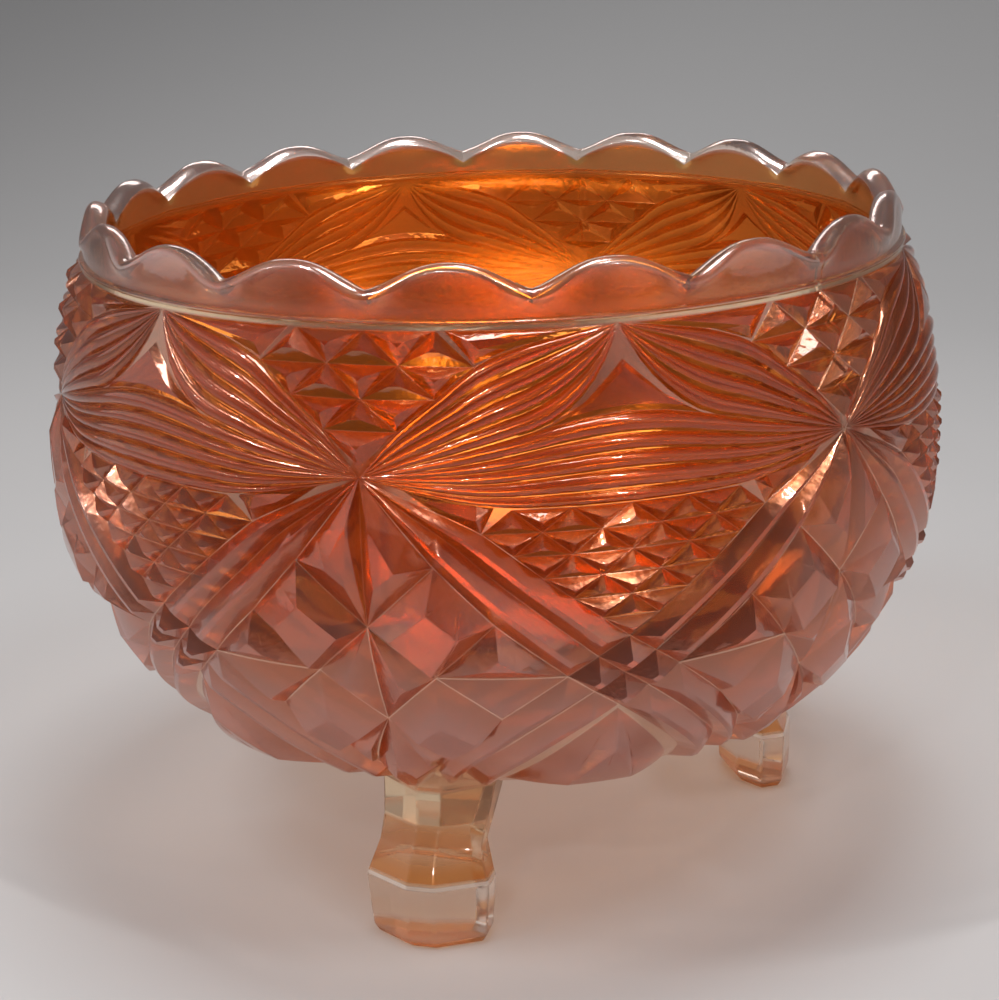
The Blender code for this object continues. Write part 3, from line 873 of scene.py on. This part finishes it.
def amber_glass(colours):
    """Pressed amber glass under a fired metal film, which is thin on the pale rim. The film also paints a
    highlight on the crests, a glint in the grooves and a sheen on the sides and at the back of the lip.
    """
    shader = Shader("amber_glass_film")
    place = shader.node("ShaderNodeTexCoord", output=3)
    across, back = (
        shader.node("ShaderNodeSeparateXYZ", {}, {0: place}, output=axis) for axis in (0, 1)
    )
    relief, inside, below = (
        shader.node("ShaderNodeAttribute", {"attribute_name": name}, output=2)
        for name in ("relief", "inside", "below_rim")
    )
    # Where the surface is, in metres across and in millimetres below the rim and above the grooves.
    outer_rim = shader.ease(below, 8.8, 7.4)
    inner_rim = shader.ease(below, 2.6, 1.5)
    rim = outer_rim + inside * (inner_rim - outer_rim)
    # More pale film on the lip, and much more towards the back, where it is a painted sheen on the back of
    # the lip.
    lip = shader.ease(below, 3.2, 1.2) * (0.3 + shader.ease(back, -0.03, 0.05) * 0.8)
    bead = shader.ease(below, 7.7, 8.1) * shader.ease(below, 9.1, 8.7) * (1 - inside)
    low = shader.ease(below, 16.0, 80.0)
    # Paler and more filmed towards the left and right sides of the bowl: a painted sheen.
    painted_side_sheen = shader.ease(across, 0.02, -0.07) + shader.ease(across, 0.04, 0.075) * 0.8
    clouds = shader.node("ShaderNodeTexNoise", {}, {"Vector": place, "Scale": 20.0, "Detail": 2.0})
    patches = shader.ease(clouds, 0.38, 0.62)
    # Paler film on the raised crests: a painted highlight.
    crest = shader.ease(relief, 0.3, 2.4)
    # The pale line along the bottom of each groove: a painted glint, with more film there.
    groove = shader.ease(relief, 0.11, 0.02) * (1 - outer_rim) * (1 - inside)
    # The glass, with a slightly uneven skin.
    seam = mould_seam(shader, across, back) * (1 - inside)
    grain = shader.node("ShaderNodeTexNoise", {}, {"Vector": place, "Scale": 900.0, "Detail": 1.0})
    uneven = {"Strength": 0.5, "Distance": 0.4 * MM, "Height": grain * 0.16 + seam}
    skin = shader.node("ShaderNodeBump", {}, uneven)
    glass = mixed(shader, (*colours.amber, 1), (*colours.rim, 1), rim)
    shader.set(Base_Color=glass, Roughness=0.03, IOR=1.5, Transmission_Weight=1.0, Normal=skin)
    # The film, warm or pearly outside and golden inside, paler towards the bottom. Its colour also paints a
    # highlight on the crests, a glint in the grooves and a sheen on the left and right sides.
    pearl_and_painted_sheen = patches * 0.2 + crest * 0.25 + low * 0.3 + painted_side_sheen * 0.25
    film_color = mixed(shader, (*colours.film_low, 1), (*colours.film_pearl_and_sheen, 1), pearl_and_painted_sheen)
    film_color = mixed(shader, film_color, (*colours.film_groove_glint, 1), groove)
    film_color = mixed(shader, film_color, (*colours.film_inside, 1), inside)
    film_color = mixed(shader, film_color, (*colours.film_rim, 1), rim)
    film_color = mixed(shader, film_color, (*colours.film_bead, 1), bead)
    film_inputs = {"Base Color": film_color, "Metallic": 0.9, "Roughness": 0.2, "Normal": skin}
    film_inputs.update({"Coat Weight": 0.35, "Coat Roughness": 0.04})
    film = shader.node("ShaderNodeBsdfPrincipled", {}, film_inputs)
    # How much of the surface the film covers, on the body and on the rim. It covers more in the grooves, on
    # the left and right sides and at the back of the lip, as painted glint and sheen.
    body_share = 0.13 + groove * 0.22 + inside * 0.24 + low * 0.46 + painted_side_sheen * 0.18 + bead * 0.3
    rim_share = 0.03 + painted_side_sheen * 0.32 + lip * 0.33 + bead * 0.35
    share = body_share + rim * (rim_share - body_share)
    surface = shader.node("ShaderNodeMixShader", {}, {0: share, 1: shader.bsdf(), 2: film})
    lit_through(shader, surface, (0.66, 0.60, 0.57, 1))
    return shader.material


def leg_glass(colours, toe_height):
    """The same glass with a thinner film, clearer in the toes and warmer just above them, with a painted
    highlight along the top edge of the toes.
    """
    shader = Shader("pale_amber_leg_glass")
    place = shader.node("ShaderNodeTexCoord", output=3)
    up = shader.node("ShaderNodeSeparateXYZ", {}, {0: place}, output=2)
    t = toe_height
    warm = shader.ease(up, t + 0.3 * MM, t + 0.8 * MM) * shader.ease(up, t + 7.5 * MM, t + 1.5 * MM)
    warm = warm + shader.ease(up, 2.4 * MM, 0.8 * MM)
    # A thin pale line along the top edge of the toe, with more film there: a painted highlight.
    edge = shader.ease(up, t - 0.5 * MM, t - 0.3 * MM) * shader.ease(up, t + 0.3 * MM, t + 0.1 * MM)
    color = mixed(shader, (*colours.leg, 1), (*colours.toe, 1), shader.ease(up, t + 0.4 * MM, t))
    color = mixed(shader, color, (*colours.leg_warm, 1), warm)
    shader.set(Base_Color=color, Roughness=0.06, IOR=1.5, Transmission_Weight=1.0)
    film_color = mixed(shader, color, (0.95, 0.88, 0.80, 1), edge)
    film_inputs = {"Base Color": film_color, "Metallic": 0.4, "Roughness": 0.3}
    film_inputs.update({"Coat Weight": 0.5, "Coat Roughness": 0.05})
    film = shader.node("ShaderNodeBsdfPrincipled", {}, film_inputs)
    share = 0.1 + warm * 0.28 + edge * 0.45
    surface = shader.node("ShaderNodeMixShader", {}, {0: share, 1: shader.bsdf(), 2: film})
    lit_through(shader, surface, (0.78, 0.70, 0.62, 1))
    return shader.material


class SCENE_OT_add_bowl_studio(Operator):
    """Add the floor, the lights and the camera"""

    bl_idname = "scene.add_bowl_studio"
    bl_label = "Add Studio"
    bl_options = {"REGISTER", "UNDO"}

    def execute(self, context):
        settings = context.scene.glass_studio
        # The floor, which runs up into a backdrop behind the bowl.
        near, far, up, back = -3.0, 0.9, 3.0, 0.3
        mesh = bmesh.new()
        bmesh.ops.create_grid(mesh, x_segments=1, y_segments=1, size=3.0)
        rear = [e for e in mesh.edges if all(v.co.y > 0 for v in e.verts)]
        for vert in mesh.verts:
            vert.co.y = far if vert.co.y > 0 else near
            vert.co.z = -FLOOR_GAP
        lifted = bmesh.ops.extrude_edge_only(mesh, edges=rear)["geom"]
        raised = [g for g in lifted if isinstance(g, bmesh.types.BMVert)]
        bmesh.ops.translate(mesh, verts=raised, vec=(0, back, up))
        crease = [e for e in mesh.edges if all(v.co.z < 0.1 and v.co.y > 0.8 for v in e.verts)]
        bmesh.ops.bevel(
            mesh,
            geom=crease,
            offset=0.5,
            offset_type="OFFSET",
            segments=16,
            profile=0.5,
            affect="EDGES",
            material=-1,
        )
        for face in mesh.faces:
            face.smooth = True
        data = bpy.data.meshes.new("floor")
        mesh.to_mesh(data)
        mesh.free()
        shader = Shader("pale_floor")
        place = shader.node("ShaderNodeTexCoord", output=3)
        # The floor's colour runs into the darker grey of the backdrop towards the back and up it: painted
        # shade.
        away = shader.ease(shader.node("ShaderNodeSeparateXYZ", {}, {0: place}, output=1), 0.15, 1.0)
        paper = mixed(shader, (*settings.floor, 1), (*settings.backdrop, 1), away)
        shader.set(Base_Color=paper, Roughness=0.6)
        data.materials.append(shader.material)
        floor = bpy.data.objects.new("floor", data)
        context.scene.collection.objects.link(floor)
        # The light.
        world = bpy.data.worlds.new("soft_room")
        context.scene.world = world
        world.use_nodes = True
        sky = Shader.of_tree(world.node_tree)
        seen = sky.node("ShaderNodeTexCoord")
        away, up = (
            sky.node("ShaderNodeSeparateXYZ", {}, {0: seen}, output=axis) for axis in (1, 2)
        )
        walls = mixed(sky, WALLS, CEILING, sky.ease(up, 0.2, 0.8))
        walls = mixed(sky, walls, VIEWER_SIDE, sky.ease(away, -0.35, -0.85))
        background = world.node_tree.nodes["Background"].inputs
        sky.feed(background["Color"], walls)
        background["Strength"].default_value = ROOM_STRENGTH
        for name, place, size, power in LAMPS:
            light = bpy.data.lights.new(name, "AREA")
            light.shape = "RECTANGLE"
            light.size, light.size_y = size
            light.energy = power
            lamp = bpy.data.objects.new(name, light)
            lamp.location = place
            lamp.rotation_euler = (LAMPS_AIM - Vector(place)).to_track_quat("-Z", "Y").to_euler()
            context.scene.collection.objects.link(lamp)
        # The camera.
        camera = bpy.data.cameras.new("camera")
        camera.lens = settings.lens
        camera.sensor_width = SENSOR_WIDTH
        camera.clip_start = 0.01
        holder = bpy.data.objects.new("camera", camera)
        turn, lift = math.radians(CAMERA_TURN), math.radians(CAMERA_LIFT)
        out = Vector((math.sin(turn) * math.cos(lift), -math.cos(turn) * math.cos(lift), math.sin(lift)))
        place = Matrix.Translation(CAMERA_AIM + out * CAMERA_AWAY)
        aim = (-out).to_track_quat("-Z", "Y").to_matrix().to_4x4()
        holder.matrix_world = place @ aim @ Matrix.Rotation(math.radians(CAMERA_ROLL), 4, "Z")
        context.scene.collection.objects.link(holder)
        context.scene.camera = holder
        context.scene.view_settings.view_transform = "Standard"
        return {"FINISHED"}


class VIEW3D_PT_glass_bowl(Panel):
    """The sizes and colours of the bowl, and the steps that make it"""

    bl_idname = "VIEW3D_PT_glass_bowl"
    bl_label = "Glass Bowl"
    bl_space_type = "VIEW_3D"
    bl_region_type = "UI"
    bl_category = "Glass Bowl"

    def draw(self, context):
        for step in STEPS:
            self.layout.operator(step.bl_idname)
        for group in ("glass_bowl", "glass_legs", "glass_colours", "glass_studio"):
            values = getattr(context.scene, group)
            box = self.layout.box()
            for name in values.__annotations__:
                box.prop(values, name)


GROUPS = {
    "glass_bowl": BowlSettings,
    "glass_legs": LegSettings,
    "glass_colours": GlassSettings,
    "glass_studio": StudioSettings,
}
STEPS = (OBJECT_OT_add_patterned_bowl, OBJECT_OT_add_legs, SCENE_OT_add_bowl_studio)
CLASSES = (*GROUPS.values(), *STEPS, VIEW3D_PT_glass_bowl)


def register():
    for cls in CLASSES:
        bpy.utils.register_class(cls)
    for name, group in GROUPS.items():
        setattr(bpy.types.Scene, name, PointerProperty(type=group))


def unregister():
    for name in GROUPS:
        delattr(bpy.types.Scene, name)
    for cls in reversed(CLASSES):
        bpy.utils.unregister_class(cls)


def main():
    register()
    bpy.ops.object.add_patterned_bowl()
    bpy.ops.object.add_bowl_legs()
    bpy.ops.scene.add_bowl_studio()


if __name__ == "__main__":
    main()
